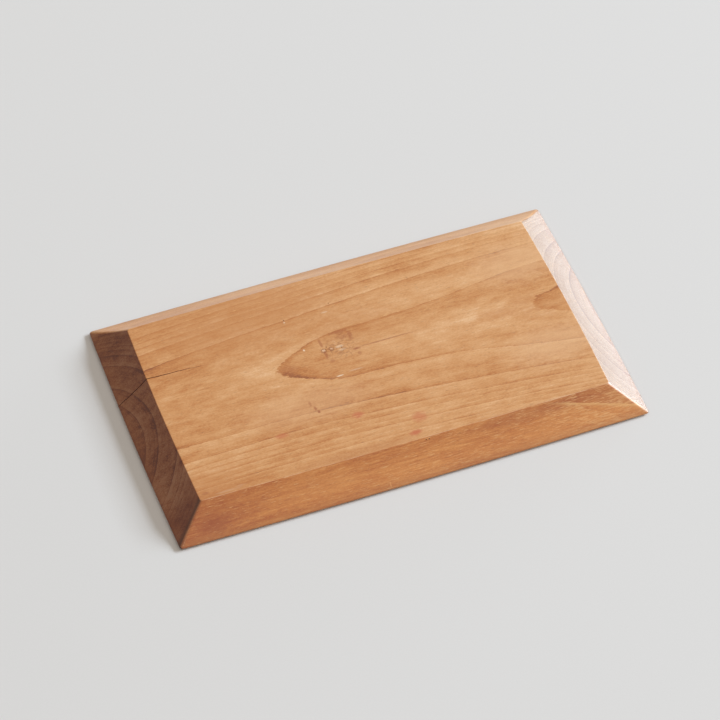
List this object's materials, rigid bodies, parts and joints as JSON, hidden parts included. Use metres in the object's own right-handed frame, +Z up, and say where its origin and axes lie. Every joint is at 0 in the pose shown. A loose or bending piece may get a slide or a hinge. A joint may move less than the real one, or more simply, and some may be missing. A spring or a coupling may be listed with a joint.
{
  "type": "serving board",
  "caption": "Low rectangular wooden serving board with a flat top and wide sloping edges, on slim rubber feet screwed into its underside.",
  "frame": {"origin": "on the table, under the middle of the board", "axes": "+X along the board's length, to the right in the picture; +Y across it, away from the viewer; +Z up out of the serving face"},
  "size_m": [0.3, 0.18, 0.0168],
  "materials": {
    "plank_wood": "oiled, satin",
    "foot_rubber": "matt",
    "fastener_steel": "zinc plated, satin"
  },
  "bodies": {
    "root": {"board": "plank_wood", "foot_front_left": "foot_rubber", "foot_front_right": "foot_rubber", "foot_back_left": "foot_rubber", "foot_back_right": "foot_rubber", "foot_washer_front_left": "fastener_steel", "foot_washer_front_right": "fastener_steel", "foot_washer_back_left": "fastener_steel", "foot_washer_back_right": "fastener_steel", "foot_screw_front_left": "fastener_steel", "foot_screw_front_right": "fastener_steel", "foot_screw_back_left": "fastener_steel", "foot_screw_back_right": "fastener_steel"}
  },
  "joints": []
}
